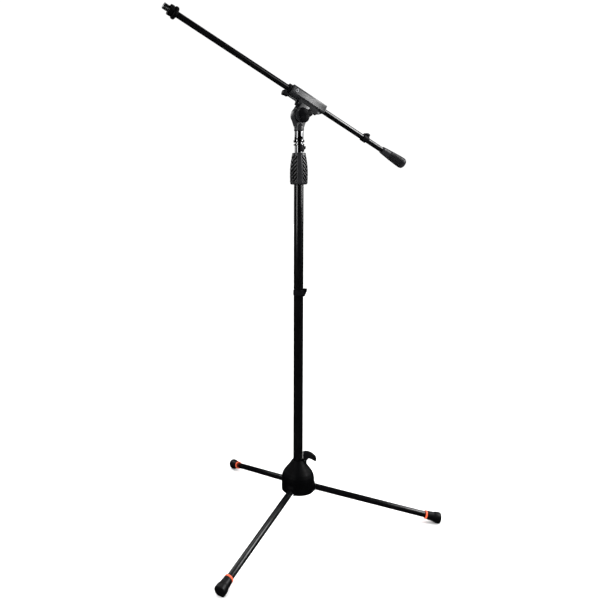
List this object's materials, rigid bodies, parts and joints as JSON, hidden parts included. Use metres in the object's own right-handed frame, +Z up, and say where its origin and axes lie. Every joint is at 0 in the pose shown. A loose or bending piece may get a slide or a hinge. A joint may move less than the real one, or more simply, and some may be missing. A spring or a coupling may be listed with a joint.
{
  "type": "boom microphone stand",
  "caption": "Boom microphone stand: folding tripod with rubber feet and orange trim rings, black telescopic column, rubber twist grip, chrome mast and a tilting boom in a grey clamp block",
  "frame": {"origin": "On the floor, under the middle of the whole object's box. The column axis stands 5.7 mm towards +X and 89.9 mm towards -Y of it.", "axes": "+Z is up. The boom lies in a plane of constant Y, tilted 24.6 degrees, with its microphone end towards -X and up. The rear leg points to +Y, the other two to -30 and -150 degrees about Z."},
  "size_m": [0.7382, 0.5804, 1.3063],
  "materials": {
    "black_paint": "gloss black powder coat on steel tube",
    "cast_black": "satin black paint on castings and turned pieces",
    "cast_grey": "satin grey, almost smooth",
    "chrome": "polished chrome plate",
    "steel": "zinc-plated or bare steel",
    "black_nylon": "moulded black nylon, satin",
    "rubber": "matt black rubber",
    "orange_trim": "plain orange plastic ring",
    "brass": "turned brass insert"
  },
  "bodies": {
    "base": {"hub_core": "cast_black", "hub_cover": "cast_black", "hub_bottom_plate": "black_nylon", "plate_screw_1": "steel", "plate_screw_2": "steel", "plate_screw_3": "steel", "latch_spring": "steel", "leg_pin_rear": "steel", "leg_pin_right": "steel", "leg_pin_front": "steel", "column_tube": "black_paint", "column_end_plug": "black_nylon", "clutch_body": "cast_grey", "clutch_collet": "black_nylon"},
    "leg_rear": {"leg_knuckle_rear": "cast_black", "leg_tube_rear": "black_paint", "leg_trim_rear": "orange_trim", "leg_foot_rear": "rubber"},
    "leg_right": {"leg_knuckle_right": "cast_black", "leg_tube_right": "black_paint", "leg_trim_right": "orange_trim", "leg_foot_right": "rubber"},
    "leg_front": {"leg_knuckle_front": "cast_black", "leg_tube_front": "black_paint", "leg_trim_front": "orange_trim", "leg_foot_front": "rubber"},
    "release": {"latch_ring": "steel", "finger_hook": "black_nylon"},
    "column_cable_clip": {"column_clip": "black_nylon"},
    "grip": {"twist_grip": "rubber"},
    "mast": {"mast_tube": "chrome", "mast_stub": "chrome"},
    "mast_cable_clip": {"mast_clip": "black_nylon"},
    "stub_nut": {"jam_nut": "chrome"},
    "head": {"head_socket": "chrome", "tilt_knuckle": "cast_grey"},
    "clamp": {"clamp_body": "cast_grey", "friction_washer_near": "steel", "friction_washer_far": "steel", "pivot_bolt": "steel", "lever_pin": "steel", "liner_screw": "steel"},
    "knob": {"tilt_knob": "black_nylon", "knob_insert": "brass"},
    "lever": {"clamp_lever": "chrome", "lever_tip": "black_nylon"},
    "shoe": {"brake_shoe": "black_nylon"},
    "liner": {"boom_liner": "black_nylon"},
    "boom": {"boom_tube": "black_paint", "tip_stub": "steel", "end_collar": "cast_black", "tail_grip": "rubber"},
    "boom_cable_clip": {"boom_clip": "black_nylon"},
    "mic_nut": {"lock_ring": "cast_black"}
  },
  "joints": [
    {"name": "leg_rear_fold", "type": "hinge", "parent": "base", "child": "leg_rear", "pos_m": [0.0057, -0.0619, 0.098], "axis": [-1, 0, 0], "range_deg": [0, 74]},
    {"name": "leg_right_fold", "type": "hinge", "parent": "base", "child": "leg_right", "pos_m": [0.02995, -0.1039, 0.098], "axis": [0.5, 0.866, 0], "range_deg": [0, 74]},
    {"name": "leg_front_fold", "type": "hinge", "parent": "base", "child": "leg_front", "pos_m": [-0.01855, -0.1039, 0.098], "axis": [0.5, -0.866, 0], "range_deg": [0, 74]},
    {"name": "leg_release_pull", "type": "slide", "parent": "base", "child": "release", "axis": [0, 0, 1], "range_m": [0, 0.006], "stiffness_N_per_m": 600, "springref_m": -0.005, "deforming": ["latch_spring"]},
    {"name": "column_clip_turn", "type": "hinge", "parent": "base", "child": "column_cable_clip", "pos_m": [0.0057, -0.0899, 0.616], "axis": [0, 0, 1], "continuous": true},
    {"name": "clutch_grip_twist", "type": "hinge", "parent": "base", "child": "grip", "pos_m": [0.0057, -0.0899, 0.94], "axis": [0, 0, 1], "range_deg": [-90, 0]},
    {"name": "mast_height", "type": "slide", "parent": "base", "child": "mast", "axis": [0, 0, 1], "range_m": [0, 0.68]},
    {"name": "mast_clip_turn", "type": "hinge", "parent": "mast", "child": "mast_cable_clip", "pos_m": [0.0057, -0.0899, 0.9918], "axis": [0, 0, 1], "continuous": true},
    {"name": "stub_nut_turn", "type": "hinge", "parent": "mast", "child": "stub_nut", "pos_m": [0.0057, -0.0899, 1.0113], "axis": [0, 0, 1], "continuous": true},
    {"name": "head_turn", "type": "hinge", "parent": "mast", "child": "head", "pos_m": [0.0057, -0.0899, 1.036], "axis": [0, 0, 1], "continuous": true},
    {"name": "boom_tilt", "type": "hinge", "parent": "head", "child": "clamp", "pos_m": [0.0057, -0.0899, 1.0765], "axis": [0, 1, 0], "range_deg": [-75, 60]},
    {"name": "tilt_knob_turn", "type": "hinge", "parent": "clamp", "child": "knob", "pos_m": [0.0057, -0.0899, 1.0765], "axis": [0, 1, 0], "continuous": true},
    {"name": "lever_open", "type": "hinge", "parent": "clamp", "child": "lever", "pos_m": [0.06002, -0.0899, 1.08705], "axis": [0, -1, 0], "range_deg": [0, 7.5]},
    {"name": "brake_shoe_lift", "type": "slide", "parent": "clamp", "child": "shoe", "axis": [-0.4163, 0, -0.9092], "range_m": [0, 0.0003]},
    {"name": "boom_roll", "type": "hinge", "parent": "clamp", "child": "liner", "pos_m": [0.02568, -0.0899, 1.12014], "axis": [-0.9092, 0, 0.4163], "continuous": true},
    {"name": "boom_slide", "type": "slide", "parent": "liner", "child": "boom", "axis": [-0.9092, 0, 0.4163], "range_m": [-0.3, 0.145]},
    {"name": "boom_clip_turn", "type": "hinge", "parent": "boom", "child": "boom_cable_clip", "pos_m": [0.22299, -0.0899, 1.02981], "axis": [-0.9092, 0, 0.4163], "continuous": true},
    {"name": "mic_nut_turn", "type": "hinge", "parent": "boom", "child": "mic_nut", "pos_m": [-0.34783, -0.0899, 1.29115], "axis": [-0.9092, 0, 0.4163], "continuous": true}
  ],
  "couplings": [
    {"joint": "brake_shoe_lift", "follows": "lever_open", "m_per_rad": 0.002292}
  ]
}
